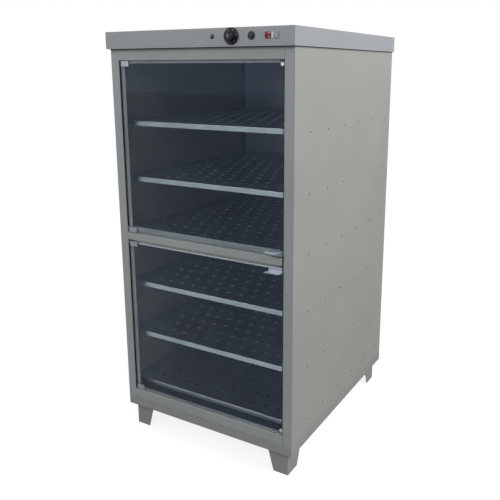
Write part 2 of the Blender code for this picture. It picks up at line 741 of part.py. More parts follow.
shaftBore = extruded("y", circle(knobX, controlHeight, knobShaft + shaftClearance, controlSides),
                     coverFace - thermostatBushReach - overrun, shaftEnd + gap)
addPiece("thermostat_body", thermostat, greyPlastic, joins=[thermostatNeck], cuts=[shaftBore])

# Push button in its bezel
bezelFace = coverFace - gap
bezelBore = buttonRadius + gap
bezel = [(bezelBore, bezelFace - bezelDepth), (bezelRadius - bezelDepth / 2, bezelFace - bezelDepth),
         (bezelRadius, bezelFace - bezelDepth / 2), (bezelRadius, bezelFace),
         (bezelSleeve, bezelFace), (bezelSleeve, coverFace + bezelSleeveDepth),
         (bezelBore, coverFace + bezelSleeveDepth)]
addPiece("button_bezel", turned("y", buttonX, controlHeight, bezel, controlSides, ring=True),
         blackPlastic, smooth=True)
buttonFace = bezelFace - bezelDepth - buttonProud
button = [(0, buttonFace - buttonDome), (buttonRadius / 2, buttonFace - buttonDome * cos(radians(40))),
          (buttonRadius, buttonFace), (buttonRadius, buttonFace + buttonDepth),
          (0, buttonFace + buttonDepth)]
addPiece("push_button", turned("y", buttonX, controlHeight, button, controlSides), blackPlastic,
         pivot=(buttonX, buttonFace, controlHeight), smooth=True)

# Mains switch: housing with a rim, a rocker in its left pocket and a window in its right
housingFace = coverFace - gap
housing = block((switchLeft, housingFace - switchPlate, controlHeight - switchHeight / 2),
                (switchRight, housingFace, controlHeight + switchHeight / 2))
housingBody = block((switchX - switchBodyHalf, housingFace - switchPlate / 2,
                     controlHeight - switchBodyHeight),
                    (switchX + switchBodyHalf, coverFace + switchDepth,
                     controlHeight + switchBodyHeight))
rockerX = switchLeft + switchRim + rockerPocketHalf
rockerY = housingFace - rockerAxisDepth
rockerPocket = block((rockerX - rockerPocketHalf, housingFace - switchPlate - overrun,
                      controlHeight - rockerHeight / 2 - gap),
                     (rockerX + rockerPocketHalf, rockerY + rockerPocketDepth,
                      controlHeight + rockerHeight / 2 + gap))
windowRight = switchRight - switchRim - gap
windowHole = block((windowRight - windowWidth - gap, housingFace - switchPlate - overrun,
                    controlHeight - rockerHeight / 2 - gap),
                   (windowRight + gap, housingFace - switchPlate + windowPocket,
                    controlHeight + rockerHeight / 2 + gap))
addPiece("switch_housing", housing, whitePlastic, joins=[housingBody],
         cuts=[together([rockerPocket, windowHole])])
addPiece("switch_window",
         block((windowRight - windowWidth, housingFace - switchPlate - windowProud,
                controlHeight - rockerHeight / 2),
               (windowRight, housingFace - switchPlate + windowPocket - gap,
                controlHeight + rockerHeight / 2)), clearPlastic)
rockerOutline = [(-rockerHalf, -rockerFrontRise), (0, -rockerFrontDip), (rockerHalf, -rockerFrontRise),
                 (rockerHalf, rockerShoulder), (rockerBackHalf, rockerBack),
                 (-rockerBackHalf, rockerBack), (-rockerHalf, rockerShoulder)]
rocker = extruded("z", rockerOutline, controlHeight - rockerHeight / 2,
                  controlHeight + rockerHeight / 2)
bmesh.ops.rotate(rocker, verts=rocker.verts, cent=(0, 0, 0),
                 matrix=Matrix.Rotation(rockerTilt, 3, "Z"))
bmesh.ops.translate(rocker, verts=rocker.verts, vec=(rockerX, rockerY, 0))
addPiece("switch_rocker", rocker, redLens, pivot=(rockerX, rockerY, controlHeight))

# Heater: one sheathed tube bent in the level above the floor, on a hat-section stand
floorTop = panelBottom + sheet
standTop = floorTop + gap + heaterStand
heaterZ = standTop + gap + heaterRadius
terminalFace = bodyDepth - sheet - gap - terminalDepth
terminalBottom = floorTop + terminalRise
heaterOuter = insideHalf - heaterSideGap
heaterRear = terminalFace - heaterRearGap
heaterMiddleRear = heaterRear - heaterStagger
standWidth = 2 * (heaterOuter + standOverhang)
route = [(heaterTails, terminalFace - gap), (heaterTails, heaterRear), (heaterOuter, heaterRear),
         (heaterOuter, heaterFront), (heaterInner, heaterFront), (heaterInner, heaterMiddleRear),
         (-heaterInner, heaterMiddleRear), (-heaterInner, heaterFront), (-heaterOuter, heaterFront),
         (-heaterOuter, heaterRear), (-heaterTails, heaterRear), (-heaterTails, terminalFace - gap)]
track = bpy.data.curves.new("heating_element", "CURVE")
track.dimensions = "3D"
track.bevel_depth = heaterRadius
track.bevel_resolution = 1
track.use_fill_caps = True
line = track.splines.new("POLY")
bends = bent(route, heaterBend, heaterBend, heaterBendSteps)
line.points.add(len(bends) - 1)
for point, spot in zip(line.points, bends):
    point.co = (spot.x, spot.y, heaterZ, 1)
element = bpy.data.objects.new("heating_element", track)
element.parent = cabinet
track.materials.append(heaterSheath)
bpy.context.collection.objects.link(element)

standBase = floorTop + gap
stand = [(standFromFront - standFoot, standBase + standSheet), (standFromFront, standBase + standSheet),
         (standFromFront, standTop), (standFromFront + standDepth, standTop),
         (standFromFront + standDepth, standBase + standSheet),
         (standFromFront + standDepth + standFoot, standBase + standSheet)]
addPiece("heater_stand", folded("x", stand[::-1], -standWidth / 2, standWidth / 2, standSheet),
         runnerSteel, standSheet)
addPiece("heater_terminal_box",
         block((-terminalWidth / 2, terminalFace, terminalBottom),
               (terminalWidth / 2, terminalFace + terminalDepth, terminalBottom + terminalHeight)),
         greyPlastic)

# Cable inlet gland through the back of the cover
glandSeat = bodyDepth + gap
glandInside = bodyDepth - sheet - gap
gland = [(glandBore, glandInside - glandNutDepth), (glandFlange, glandInside - glandNutDepth),
         (glandFlange, glandInside), (glandThread, glandInside), (glandThread, glandSeat),
         (glandFlange, glandSeat), (glandFlange, glandSeat + glandHexDepth),
         (glandFlange - sheet, glandSeat + glandHexDepth),
         (glandDomeRadius, glandSeat + glandHexDepth + glandDomeDepth),
         (glandBore, glandSeat + glandHexDepth + glandDomeDepth)]
addPiece("cable_gland", turned("y", glandX, glandZ, gland, glandSides, ring=True),
         blackPlastic, smooth=True)
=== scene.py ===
# Proofing cabinet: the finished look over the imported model. Metres, +Z up, front faces -Y.
import bpy
from math import cos, pi, radians, sin
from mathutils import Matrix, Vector


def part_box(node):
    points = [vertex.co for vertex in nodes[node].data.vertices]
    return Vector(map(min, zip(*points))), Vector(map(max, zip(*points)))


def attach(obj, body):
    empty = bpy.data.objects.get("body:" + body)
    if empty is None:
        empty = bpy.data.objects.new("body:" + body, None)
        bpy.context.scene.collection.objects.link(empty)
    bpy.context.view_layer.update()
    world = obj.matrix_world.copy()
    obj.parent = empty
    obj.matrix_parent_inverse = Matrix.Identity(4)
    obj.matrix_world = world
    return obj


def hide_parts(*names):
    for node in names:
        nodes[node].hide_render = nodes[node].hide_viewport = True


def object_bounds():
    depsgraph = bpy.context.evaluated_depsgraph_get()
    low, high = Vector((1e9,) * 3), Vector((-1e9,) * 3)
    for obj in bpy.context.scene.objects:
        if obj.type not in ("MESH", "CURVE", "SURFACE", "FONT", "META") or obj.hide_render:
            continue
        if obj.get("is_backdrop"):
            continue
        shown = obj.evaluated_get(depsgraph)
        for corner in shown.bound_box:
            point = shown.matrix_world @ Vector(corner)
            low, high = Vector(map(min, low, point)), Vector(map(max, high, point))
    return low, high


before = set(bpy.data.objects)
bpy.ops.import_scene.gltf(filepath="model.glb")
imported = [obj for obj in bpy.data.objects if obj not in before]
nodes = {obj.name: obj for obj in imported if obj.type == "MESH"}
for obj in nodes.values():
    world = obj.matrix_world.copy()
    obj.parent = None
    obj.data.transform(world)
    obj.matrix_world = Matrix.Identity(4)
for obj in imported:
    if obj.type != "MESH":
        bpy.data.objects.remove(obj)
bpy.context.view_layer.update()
shelfCount = 6
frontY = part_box("right_side_panel")[0].y      # front face of the body
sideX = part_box("right_side_panel")[1].x       # outer face of the right side


# Small tools
def choose(*pieces):
    bpy.ops.object.select_all(action="DESELECT")
    for piece in pieces:
        piece.select_set(True)
    bpy.context.view_layer.objects.active = pieces[0]


def editAll(piece):
    choose(piece)
    bpy.ops.object.mode_set(mode="EDIT")
    bpy.ops.mesh.select_all(action="SELECT")


def leaveEdit():
    bpy.ops.object.mode_set(mode="OBJECT")


def modify(piece, kind, **settings):
    choose(piece)
    step = piece.modifiers.new(kind.title(), kind)
    for key, value in settings.items():
        setattr(step, key, value)
    bpy.ops.object.modifier_apply(modifier=step.name)


def softEdges(piece, width, segments=2, angle=30):
    modify(piece, "BEVEL", width=width, segments=segments, limit_method="ANGLE",
           angle_limit=radians(angle), harden_normals=False)


def smooth(piece, angle=40):
    choose(piece)
    bpy.ops.object.shade_smooth_by_angle(angle=radians(angle))
    modify(piece, "WEIGHTED_NORMAL", keep_sharp=True)


def settle(piece):
    choose(piece)
    bpy.ops.object.transform_apply(location=True, rotation=True, scale=True)


def named(piece, name):
    piece.name = name
    piece.data.name = name
    return piece


def joined(name, pieces):
    choose(*pieces)
    bpy.ops.object.join()
    return named(bpy.context.active_object, name)


def fixedNormals(piece, merge=0.00001):
    editAll(piece)
    bpy.ops.mesh.remove_doubles(threshold=merge)
    bpy.ops.mesh.normals_make_consistent(inside=False)
    leaveEdit()


# The tool cuts the piece, or joins it, and is gone
def combine(piece, tool, operation="DIFFERENCE"):
    modify(piece, "BOOLEAN", operation=operation, object=tool, solver="EXACT")
    bpy.data.objects.remove(tool)


def bisected(piece, spot, way):
    editAll(piece)
    bpy.ops.mesh.bisect(plane_co=spot, plane_no=way)
    leaveEdit()


def copyOf(piece):
    copy = piece.copy()
    copy.data = piece.data.copy()
    bpy.context.scene.collection.objects.link(copy)
    return copy


# Both corners of a node's box, and the x and z of its middle
def placeOf(name):
    low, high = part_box(name)
    return low, high, (low.x + high.x) / 2, (low.z + high.z) / 2


def block(low, high):
    low, high = Vector(low), Vector(high)
    bpy.ops.object.select_all(action="DESELECT")
    bpy.ops.mesh.primitive_cube_add(size=1, location=(low + high) / 2)
    piece = bpy.context.active_object
    piece.scale = high - low
    settle(piece)
    return piece


# Turned about a line along Y through (x, z): rings are pairs of radius and y, back to front
def turned(name, x, z, rings, sides):
    radius, y = rings[0]
    bpy.ops.object.select_all(action="DESELECT")
    bpy.ops.mesh.primitive_circle_add(vertices=sides, radius=radius, fill_type="NGON",
                                      location=(x, y, z), rotation=(pi / 2, 0, 0))
    piece = named(bpy.context.active_object, name)
    settle(piece)
    editAll(piece)
    for nextRadius, nextY in rings[1:]:
        bpy.ops.mesh.extrude_region_move(TRANSFORM_OT_translate={"value": (0, nextY - y, 0)})
        if nextRadius != radius:
            share = nextRadius / radius
            bpy.ops.transform.resize(value=(share, 1, share), center_override=(x, nextY, z))
        radius, y = nextRadius, nextY
    leaveEdit()
    fixedNormals(piece)
    return piece


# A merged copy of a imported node, with its flat faces whole again and its edges eased
def eased(node, width=0.0003, segments=2, angle=30, merge=0.00001):
    piece = bpy.data.objects.new(node + "_finish", nodes[node].data.copy())
    bpy.context.scene.collection.objects.link(piece)
    named(piece, node + "_finish")
    piece.data.materials.clear()
    editAll(piece)
    bpy.ops.mesh.remove_doubles(threshold=merge)
    bpy.ops.mesh.dissolve_limited(angle_limit=radians(0.5), delimit={"NORMAL"})
    leaveEdit()
    if width:
        softEdges(piece, width, segments, angle)
    return piece


def wear(piece, material, slot, body, *replaced):
    if not piece.data.materials:
        piece.data.materials.append(material)
    if replaced:
        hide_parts(*replaced)
    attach(piece, body)
    return piece


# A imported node's eased copy, in its own material
def dress(name, look, slot, body, width=0.0003, segments=2, angle=30):
    piece = eased(name, width, segments, angle)
    smooth(piece)
    return wear(piece, look, slot, body, name)


# A strip that only the scene has; the ones here paint shadow and light
def trim(piece, name, soft, segments, look, slot):
    named(piece, name)
    softEdges(piece, soft, segments)
    smooth(piece)
    wear(piece, look, slot, "cabinet")


def recolour(name, look):
    nodes[name].data.materials.clear()
    nodes[name].data.materials.append(look)


# Faces that a test on centre and normal picks out get a second material
def faceMaterial(piece, material, picked):
    piece.data.materials.append(material)
    last = len(piece.data.materials) - 1
    for face in piece.data.polygons:
        if picked(face.center, face.normal):
            face.material_index = last


# Materials are node trees on object coordinates, so their grain is in real sizes
def toLinear(colour):
    channels = [int(colour[n:n + 2], 16) / 255 for n in (1, 3, 5)]
    return [c / 12.92 if c <= 0.04045 else ((c + 0.055) / 1.055) ** 2.4 for c in channels] + [1]


def addNode(tree, kind, settings, links=()):
    node = tree.nodes.new(kind)
    for key, value in settings.items():
        if isinstance(key, int) or key in node.inputs:
            node.inputs[key].default_value = value
        else:
            setattr(node, key, value)
    for key, source in links:
        tree.links.new(source, node.inputs[key])
    return node


def newMaterial(name, settings):
    material = bpy.data.materials.new(name)
    material.use_nodes = True
    tree = material.node_tree
    shader = tree.nodes["Principled BSDF"]
    for key, value in settings.items():
        shader.inputs[key].default_value = value
    place = addNode(tree, "ShaderNodeTexCoord", {})
    return material, tree, shader, place.outputs["Object"]


def colourRange(tree, source, low, high, start=0.3, end=0.7):
    ramp = addNode(tree, "ShaderNodeValToRGB", {}, [("Fac", source)])
    ramp.color_ramp.elements[0].position = start
    ramp.color_ramp.elements[0].color = toLinear(low)
    ramp.color_ramp.elements[1].position = end
    ramp.color_ramp.elements[1].color = toLinear(high)
    return ramp.outputs["Color"]


def valueRange(tree, source, low, high, start=0.3, end=0.7):
    span = addNode(tree, "ShaderNodeMapRange", {"From Min": start, "From Max": end,
                                                 "To Min": low, "To Max": high},
                   [("Value", source)])
    return span.outputs["Result"]


# Light grey polyester powder coat, baked on sheet steel: a satin film that flows to a
# fine orange peel and keeps a faint cloudiness from the spray and from wiping
def powderCoat(name, light, dark, roughness=0.42):
    material, tree, shader, place = newMaterial(name, {"Metallic": 0, "IOR": 1.5,
                                                       "Specular IOR Level": 0.42})
    clouds = addNode(tree, "ShaderNodeTexNoise", {"Scale": 2.6, "Detail": 5, "Roughness": 0.6},
                     [("Vector", place)])
    wiped = addNode(tree, "ShaderNodeMapping", {"Scale": (3, 3, 26)}, [("Vector", place)])
    wipes = addNode(tree, "ShaderNodeTexNoise", {"Scale": 1.0, "Detail": 4, "Roughness": 0.55},
                    [("Vector", wiped.outputs["Vector"])])
    # real peel is 2 mm across: drawn at 5 mm so that it shows from a step away
    peel = addNode(tree, "ShaderNodeTexNoise", {"Scale": 200, "Detail": 2, "Roughness": 0.5},
                   [("Vector", place)])
    tint = colourRange(tree, clouds.outputs["Fac"], dark, light, 0.25, 0.75)
    tree.links.new(tint, shader.inputs["Base Color"])
    sheen = valueRange(tree, wipes.outputs["Fac"], roughness - 0.06, roughness + 0.08)
    tree.links.new(sheen, shader.inputs["Roughness"])
    relief = addNode(tree, "ShaderNodeBump", {"Strength": 0.12, "Distance": 0.0006},
                     [("Height", peel.outputs["Fac"])])
    tree.links.new(relief.outputs["Normal"], shader.inputs["Normal"])
    return material


# Rolled steel sheet with its mill grain along one way: long fine lines in gloss and height
def grainedSteel(name, light, dark, roughness, grain, metallic=1.0, lines=900, bump=0.08):
    material, tree, shader, place = newMaterial(name, {"Metallic": metallic})
    stretched = addNode(tree, "ShaderNodeMapping",
                        {"Scale": [6 if way else lines for way in grain]}, [("Vector", place)])
    hairs = addNode(tree, "ShaderNodeTexNoise", {"Scale": 1.0, "Detail": 3, "Roughness": 0.65},
                    [("Vector", stretched.outputs["Vector"])])
    stains = addNode(tree, "ShaderNodeTexNoise", {"Scale": 9, "Detail": 5, "Roughness": 0.6},
                     [("Vector", place)])
    tree.links.new(colourRange(tree, stains.outputs["Fac"], dark, light),
                   shader.inputs["Base Color"])
    gloss = addNode(tree, "ShaderNodeMath", {"operation": "MULTIPLY_ADD", 1: 0.22},
                    [(0, hairs.outputs["Fac"])])
    gloss.inputs[2].default_value = roughness - 0.11
    tree.links.new(gloss.outputs["Value"], shader.inputs["Roughness"])
    relief = addNode(tree, "ShaderNodeBump", {"Strength": bump, "Distance": 0.0003},
                     [("Height", hairs.outputs["Fac"])])
    tree.links.new(relief.outputs["Normal"], shader.inputs["Normal"])
    return material


# Hot-dip galvanised sheet gone dull: zinc spangle of 8 to 15 mm crystals, hardly glossy
def galvanisedSheet(name, light, dark, roughness=0.5):
    material, tree, shader, place = newMaterial(name, {"Metallic": 0.75})
    crystals = addNode(tree, "ShaderNodeTexVoronoi", {"Scale": 90}, [("Vector", place)])
    shade = addNode(tree, "ShaderNodeSeparateColor", {}, [("Color", crystals.outputs["Color"])])
    haze = addNode(tree, "ShaderNodeTexNoise", {"Scale": 5, "Detail": 4}, [("Vector", place)])
    blend = addNode(tree, "ShaderNodeMath", {"operation": "MULTIPLY_ADD", 1: 0.35},
                    [(0, shade.outputs["Red"]), (2, haze.outputs["Fac"])])
    tree.links.new(colourRange(tree, blend.outputs["Value"], dark, light, 0.35, 1.0),
                   shader.inputs["Base Color"])
    gloss = valueRange(tree, shade.outputs["Green"], roughness - 0.08, roughness + 0.08, 0, 1)
    tree.links.new(gloss, shader.inputs["Roughness"])
    return material


# Moulded plastic: a fine spark-eroded grain on an even colour, with soft gloss
def mouldedPlastic(name, light, dark, roughness, grain=900, bump=0.15, extra=None):
    material, tree, shader, place = newMaterial(name, {"IOR": 1.5, **(extra or {})})
    blotches = addNode(tree, "ShaderNodeTexNoise", {"Scale": 60, "Detail": 3}, [("Vector", place)])
    pits = addNode(tree, "ShaderNodeTexNoise", {"Scale": grain, "Detail": 2}, [("Vector", place)])
    tree.links.new(colourRange(tree, blotches.outputs["Fac"], dark, light),
                   shader.inputs["Base Color"])
    tree.links.new(valueRange(tree, pits.outputs["Fac"], roughness - 0.05, roughness + 0.07),
                   shader.inputs["Roughness"])
    relief = addNode(tree, "ShaderNodeBump", {"Strength": bump, "Distance": 0.0001},
                     [("Height", pits.outputs["Fac"])])
    tree.links.new(relief.outputs["Normal"], shader.inputs["Normal"])
    return material


# Tempered float glass with a light grey-blue body tint: flat, sharp, with faint hand smears
def paneGlass(name, tint, smeared):
    material, tree, shader, place = newMaterial(name, {"Transmission Weight": 1, "IOR": 1.42,
                                                       "Specular IOR Level": 0.5,
                                                       "Specular Tint": toLinear("#B9CDF6")})
    smears = addNode(tree, "ShaderNodeTexNoise", {"Scale": 5, "Detail": 6, "Roughness": 0.65,
                                                  "Distortion": 0.4}, [("Vector", place)])
    tree.links.new(colourRange(tree, smears.outputs["Fac"], smeared, tint, 0.35, 0.6),
                   shader.inputs["Base Color"])
    tree.links.new(valueRange(tree, smears.outputs["Fac"], 0.03, 0.0, 0.3, 0.6),
                   shader.inputs["Roughness"])
    return material


# One light grey powder coat, in the tone that the photograph gives each surface
# Each copy's tone paints in the light and shade its surface gets, the legs' copy darkest as painted
# shade
frontCoat = powderCoat("powder_coat_front", "#A2A7A8", "#9A9FA0")
sideCoat = powderCoat("powder_coat_sides", "#A1A29D", "#999A95")
coverCoat = powderCoat("powder_coat_cover", "#9EA2A6", "#979B9F", 0.38)
legCoat = powderCoat("powder_coat_legs", "#9A9D9C", "#929594")

# Zinc-coated sheet of the cavity, stainless shelves, zinc-plated and polished fittings
# The cavity's zinc in two tones: dark blue as painted shade on walls, floor and ceiling, light blue
# as painted light on the back
cavityShadeZinc = galvanisedSheet("galvanised_cavity_painted_shade", "#7484A4", "#5E6D8B")
backLightZinc = galvanisedSheet("galvanised_back_painted_light", "#DBE4F6", "#C0CADE")
shelfSheet = grainedSteel("stainless_shelf_sheet", "#C6CCD5", "#AFB5BE", 0.38, (1, 0, 0))
railZinc = galvanisedSheet("galvanised_rails", "#BCC4D2", "#A3ABBA", 0.45)
satinChrome = grainedSteel("satin_plated_zinc", "#C6CDD8", "#B4BBC7", 0.40, (1, 0, 0),
                           metallic=0.65, lines=2500, bump=0.03)
discChrome = grainedSteel("polished_strike_disc", "#E8EEF2", "#D9DFE4", 0.30, (0, 0, 0),
                          metallic=0.5)

# Glass, then the moulded plastics and rubbers
bluedGlass = paneGlass("tinted_float_glass", "#DDE3E5", "#D6DCDE")
blackResin = mouldedPlastic("black_phenolic_resin", "#1B1F2A", "#131721", 0.46,
                            extra={"Specular IOR Level": 0.3})
greyResin = mouldedPlastic("grey_moulded_abs", "#5C5E60", "#515355", 0.5)
buttonPlastic = mouldedPlastic("blue_black_polyamide", "#202438", "#1B1E2F", 0.5)
shadeStripRubber = mouldedPlastic("black_painted_shade_strip", "#2B2D2E", "#222425", 0.7, 700, 0.3)
litBandLook = mouldedPlastic("pale_painted_light_band", "#E6EAEE", "#DCE0E4", 0.45, 700, 0.1)
redLens = mouldedPlastic("red_polycarbonate", "#9E1424", "#8A0F1E", 0.16, 600, 0.04,
                         {"Transmission Weight": 0.25, "Coat Weight": 0.4})
# A darker red as painted shade and a pale pink as painted highlight, both for the rocker
shadedRedLens = mouldedPlastic("red_polycarbonate_painted_shade", "#4E0C1E", "#430918", 0.2, 600, 0.04,
                            {"Transmission Weight": 0.15, "Coat Weight": 0.3})
pinkHighlight = mouldedPlastic("pale_pink_painted_highlight", "#E3B9C3", "#D8AAB5", 0.4, 1500, 0.02)
lampLens = mouldedPlastic("lamp_polycarbonate", "#6B3F4C", "#59323E", 0.12, 600, 0.03,
                          {"Transmission Weight": 0.3, "Coat Weight": 0.3})
lampRing = mouldedPlastic("dark_maroon_ring", "#301A21", "#281318", 0.35)
whitePlastic = mouldedPlastic("white_polyamide", "#D9D9DC", "#CDCDD2", 0.35)
lilacPlastic = mouldedPlastic("lilac_grey_polycarbonate", "#A3A2AE", "#9796A3", 0.25)
clearPlastic = mouldedPlastic("clear_polycarbonate", "#D5D8DE", "#C6CAD2", 0.08, 600, 0.02,
                              {"Transmission Weight": 0.6})

# Heater and fixings, then the knob's cap, the printed scale, the dark bar beside the knob and the
# rivets' bores
heaterSheath = grainedSteel("annealed_heater_sheath", "#6E665F", "#4E4843", 0.48, (0, 0, 0),
                            lines=220)
rivetMetal = grainedSteel("dull_rivet_aluminium", "#6B6B66", "#585853", 0.5, (0, 0, 0),
                          lines=700)
screwZinc = grainedSteel("zinc_plated_screws", "#A9ABAD", "#8F9194", 0.38, (0, 0, 0), lines=900)
capGrey = mouldedPlastic("pale_grey_cap", "#5A626E", "#4F5762", 0.4)
paleInk = mouldedPlastic("pale_printed_ink", "#C3C6CE", "#B0B4BD", 0.55, 1500, 0.02)
darkBarLook = mouldedPlastic("dark_bar_colour", "#3C3D40", "#333437", 0.55, 1500, 0.02)
boreBlack = mouldedPlastic("shaded_bore", "#1C1C1B", "#141413", 0.8, 900, 0.05)
print("materials ready")

# Body: coat outside and bare zinc inside, which meet at the folds of the side panels
coat = {"insideDepth": 0.0013, "insideFrom": 0.0125, "frontTo": 0.0123, "edge": 0.0016,
        "backSkin": 0.0005, "coverSoft": 0.00035, "legSoft": 0.0005}
insideX = sideX - coat["insideDepth"]
edgeX = sideX - coat["edge"]
for name in ("left_side_panel", "right_side_panel"):
    panel = eased(name)
    smooth(panel)
    panel.data.materials.append(sideCoat)
    # The inside faces take the cavity zinc, darkened as painted shade
    faceMaterial(panel, cavityShadeZinc, lambda centre, normal:
                 abs(centre.x) < insideX and centre.y > frontY + coat["insideFrom"])
    # Faces on the front take the front copy, with its painted light and shade
    faceMaterial(panel, frontCoat, lambda centre, normal:
                 abs(centre.x) < edgeX and centre.y < frontY + coat["frontTo"])
    wear(panel, sideCoat, "side_steel", "cabinet", name)

for name in ("top_rail", "middle_rail", "bottom_rail"):
    dress(name, frontCoat, "front_steel", "cabinet")

backPanel = eased("back_panel")
smooth(backPanel)
backPanel.data.materials.append(sideCoat)
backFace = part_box("back_panel")[1].y
# The inner face of the back takes the back zinc, lightened as painted light
faceMaterial(backPanel, backLightZinc, lambda centre, normal: centre.y < backFace - coat["backSkin"])
wear(backPanel, sideCoat, "side_steel", "cabinet", "back_panel")

for name in ("floor_panel", "ceiling_panel"):
    dress(name, cavityShadeZinc, "side_steel", "cabinet")
dress("top_cover", coverCoat, "cover_steel", "cabinet", coat["coverSoft"])
for name in ("base_frame", "leg_front_left", "leg_front_right", "leg_back_left", "leg_back_right"):
    dress(name, legCoat, "leg_steel", "cabinet", coat["legSoft"])

# Black strips as painted shadow: one between cover and body under the cover's edge, and one beside
# the hinge edge of the doors
shadeStrip = {"proud": 0.0012, "backShare": 0.2, "height": 0.0017, "core": 0.0002, "overrun": 0.01,
        "stileX": -0.361, "offStile": 0.0001, "thickness": 0.0012, "fromFront": 0.0012,
        "width": 0.0090, "pastGlass": 0.004, "behind": 0.02, "coverStripSoft": 0.0005,
        "hingeStripSoft": 0.0004}
bodyLow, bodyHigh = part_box("left_side_panel")[0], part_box("right_side_panel")[1]
coverShadeStrip = block((bodyLow.x - shadeStrip["proud"], bodyLow.y - shadeStrip["proud"], bodyHigh.z - shadeStrip["height"]),
               (bodyHigh.x + shadeStrip["proud"], backFace + shadeStrip["proud"] * shadeStrip["backShare"],
                bodyHigh.z))
core = block((bodyLow.x + shadeStrip["core"], bodyLow.y + shadeStrip["core"], bodyHigh.z - shadeStrip["overrun"]),
             (bodyHigh.x - shadeStrip["core"], backFace - shadeStrip["core"], bodyHigh.z + shadeStrip["overrun"]))
combine(coverShadeStrip, core)
trim(coverShadeStrip, "cover_painted_shadow_strip", shadeStrip["coverStripSoft"], 2, shadeStripRubber, "black_plastic")

stileX = shadeStrip["stileX"]
shadeStripFront = frontY + shadeStrip["fromFront"]
doorLow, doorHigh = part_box("lower_door_glass")[0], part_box("upper_door_glass")[1]
# This black strip is painted shadow in the gap beside the glass
strip = block((stileX + shadeStrip["offStile"], shadeStripFront, doorLow.z - shadeStrip["pastGlass"]),
              (stileX + shadeStrip["thickness"], shadeStripFront + shadeStrip["width"],
               doorHigh.z + shadeStrip["pastGlass"]))
railLow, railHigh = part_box("middle_rail")
gap = block((stileX - shadeStrip["overrun"], frontY - shadeStrip["overrun"], railLow.z),
            (stileX + shadeStrip["overrun"], frontY + shadeStrip["behind"], railHigh.z))
combine(strip, gap)
trim(strip, "hinge_side_painted_shadow_strip", shadeStrip["hingeStripSoft"], 2, shadeStripRubber, "black_plastic")

# Flat black sill strips with one raised lip, on the rail tops under the door glasses, as painted
# shadow under the glass
sill = {"underClamp": 0.0030, "offRail": 0.00005, "front": 0.0016, "back": 0.0106,
        "base": 0.0006, "lipFront": 0.0074, "lipBack": 0.0082, "lip": 0.0014,
        "pastClamp": 0.003, "soft": 0.00018}
for door in ("upper", "lower"):
    clampLow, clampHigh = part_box(door + "_hinge_clamp_bottom")
    left, right = clampHigh.x + sill["pastClamp"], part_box(door + "_door_glass")[1].x
    under = clampLow.z - sill["underClamp"] + sill["offRail"]
    base = block((left, frontY + sill["front"], under),
                 (right, frontY + sill["back"], under + sill["base"]))
    lip = block((left, frontY + sill["lipFront"], under),
                (right, frontY + sill["lipBack"], under + sill["lip"]))
    combine(base, lip, "UNION")
    trim(base, door + "_door_sill_painted_shadow_strip", sill["soft"], 2, shadeStripRubber, "black_plastic")

# Pale strip along the foot of the flange over the head of the lower door, as painted light where
# light falls on the flange
litBand = {"front": 0.0098, "back": 0.01145, "height": 0.0066, "aboveFoot": 0.0001,
          "pastClamp": 0.004, "beforeHandle": 0.002, "soft": 0.0005}
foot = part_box("middle_rail")[0].z + litBand["aboveFoot"]
strip = block((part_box("lower_hinge_clamp_top")[1].x + litBand["pastClamp"],
               frontY + litBand["front"], foot),
              (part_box("lower_door_handle")[0].x - litBand["beforeHandle"],
               frontY + litBand["back"], foot + litBand["height"]))
trim(strip, "lower_door_painted_light_band", litBand["soft"], 3, litBandLook, "white_plastic")
print("body done")

# Shelves: one stainless sheet with a folded lip and tail and staggered round holes, copied
shelf = {"holeRadius": 0.0090, "pitchX": 0.057, "pitchY": 0.0705, "firstRow": 0.061,
         "edge": 0.026, "sheet": 0.001, "bend": 0.0016, "bendSteps": 4, "holeSides": 24,
         "tail": 0.012, "nearEnd": 0.001, "level": 0.0001, "punchDepth": 0.02}
low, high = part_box("shelf_1")
shelfTop = high.z - shelf["tail"]
bpy.ops.object.select_all(action="DESELECT")
bpy.ops.mesh.primitive_plane_add(size=1, location=((low.x + high.x) / 2, (low.y + high.y) / 2,
                                                   shelfTop))
sheetPiece = named(bpy.context.active_object, "shelf_1_finish")
sheetPiece.scale = (high.x - low.x, high.y - low.y, 1)
settle(sheetPiece)


def pickEdges(piece, wanted):
    choose(piece)
    bpy.ops.object.mode_set(mode="EDIT")
    bpy.ops.mesh.select_all(action="DESELECT")
    leaveEdit()
    for edge in piece.data.edges:
        start, end = [piece.data.vertices[n].co for n in edge.vertices]
        edge.select = wanted((start + end) / 2)
    bpy.ops.object.mode_set(mode="EDIT")
    bpy.ops.mesh.select_mode(type="EDGE")


def nearFront(middle):
    return middle.y < low.y + shelf["nearEnd"]


def nearBack(middle):
    return middle.y > high.y - shelf["nearEnd"]


for wanted, target in ((nearFront, low.z), (nearBack, high.z)):
    pickEdges(sheetPiece, wanted)
    bpy.ops.mesh.extrude_region_move(TRANSFORM_OT_translate={"value": (0, 0, target - shelfTop)})
    leaveEdit()
pickEdges(sheetPiece, lambda middle: abs(middle.z - shelfTop) < shelf["level"]
          and (nearFront(middle) or nearBack(middle)))
bpy.ops.mesh.bevel(offset=shelf["bend"], segments=shelf["bendSteps"], affect="EDGES")
leaveEdit()
editAll(sheetPiece)
bpy.ops.mesh.normals_make_consistent(inside=False)
leaveEdit()
topFace = max(sheetPiece.data.polygons, key=lambda face: face.area)
modify(sheetPiece, "SOLIDIFY", thickness=shelf["sheet"], offset=-1 if topFace.normal.z > 0 else 1,
       use_even_offset=True)

